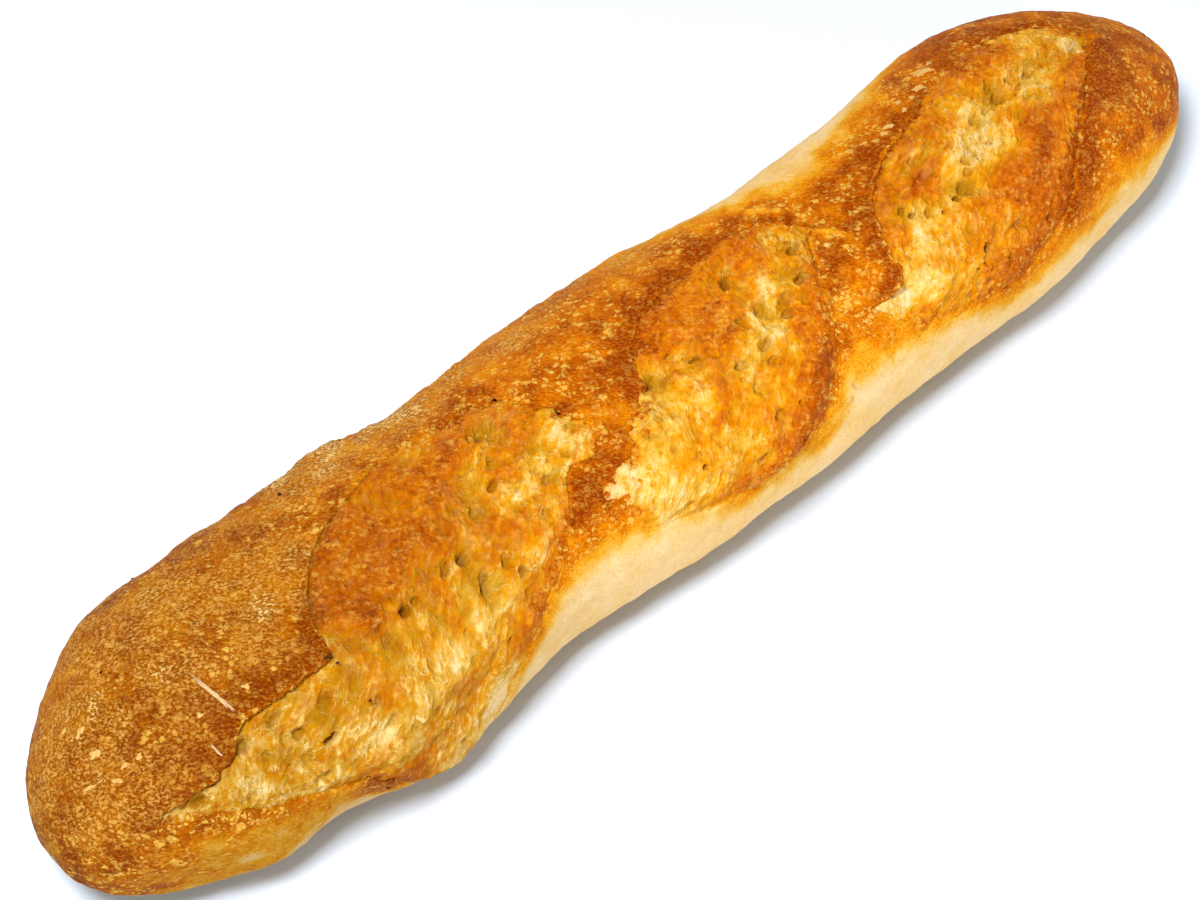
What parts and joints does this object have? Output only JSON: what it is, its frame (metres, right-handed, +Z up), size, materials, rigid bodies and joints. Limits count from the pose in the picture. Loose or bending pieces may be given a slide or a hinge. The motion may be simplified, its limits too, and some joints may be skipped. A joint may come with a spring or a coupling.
{
  "type": "baguette",
  "caption": "Short crusty white loaf with opened diagonal slashes, torn pale crumb, browned ears and a flat base.",
  "frame": {"origin": "middle of the footprint, on the flat base", "axes": "+X along the loaf towards its longer rounded end, +Z up from the base to the slashed crown"},
  "size_m": [0.32, 0.0726, 0.0502],
  "materials": {
    "crust": "dry golden-brown bread crust, pale and floury at the sides, with amber and cream crumb in the slashes"
  },
  "bodies": {
    "root": {"loaf": "crust"}
  },
  "joints": []
}
